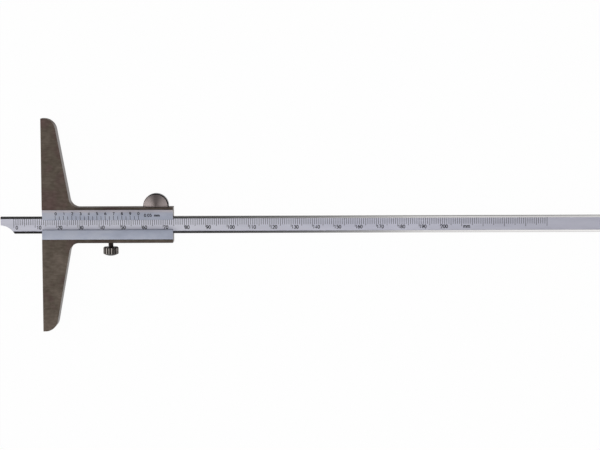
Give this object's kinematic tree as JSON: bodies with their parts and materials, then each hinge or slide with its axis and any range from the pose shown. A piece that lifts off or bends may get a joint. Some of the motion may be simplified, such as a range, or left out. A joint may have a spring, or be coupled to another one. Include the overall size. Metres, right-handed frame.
{
  "type": "vernier depth gauge",
  "caption": "Flat vernier depth gauge: a tapered steel base with a slide housing, a long graduated beam, a fluted clamp screw and a round thumb rest.",
  "frame": {"origin": "On the beam's centre line, in the plane of the base's measuring face, at the middle of the beam's thickness.", "axes": "+X along the beam towards its free end, +Y across the beam towards the vernier and the thumb rest, +Z out of the graduated face."},
  "size_m": [0.282, 0.1, 0.0081],
  "materials": {
    "ground_steel": "fine ground, aged dark",
    "satin_chrome": "satin",
    "beam_steel": "satin chromed scale face between bright ground rails",
    "dark_steel": "blackened",
    "turned_steel": "fine turned",
    "spring_steel": "polished",
    "brass": "turned"
  },
  "bodies": {
    "stock": {"stock": "ground_steel", "vernier_strip": "satin_chrome", "lower_strip": "satin_chrome", "vernier_strip_screws": "dark_steel", "lower_strip_screws": "dark_steel", "gib": "spring_steel", "gib_screws": "dark_steel", "thumb_rest": "turned_steel", "thumb_rest_pin": "dark_steel"},
    "beam": {"beam": "beam_steel"},
    "clamp_pad": {"clamp_pad": "brass"},
    "clamp_screw": {"clamp_screw": "dark_steel"}
  },
  "joints": [
    {"name": "depth_slide", "type": "slide", "parent": "stock", "child": "beam", "axis": [-1, 0, 0], "range_m": [-0.0196, 0.1804]},
    {"name": "clamp_travel", "type": "slide", "parent": "stock", "child": "clamp_pad", "axis": [0, -1, 0], "range_m": [0, 0.0008]},
    {"name": "clamp_turn", "type": "hinge", "parent": "clamp_pad", "child": "clamp_screw", "pos_m": [0.0319, -0.00835, 0], "axis": [0, -1, 0], "range_deg": [0, 720]}
  ],
  "couplings": [
    {"joint": "clamp_turn", "follows": "clamp_travel", "rad_per_m": 15708}
  ]
}
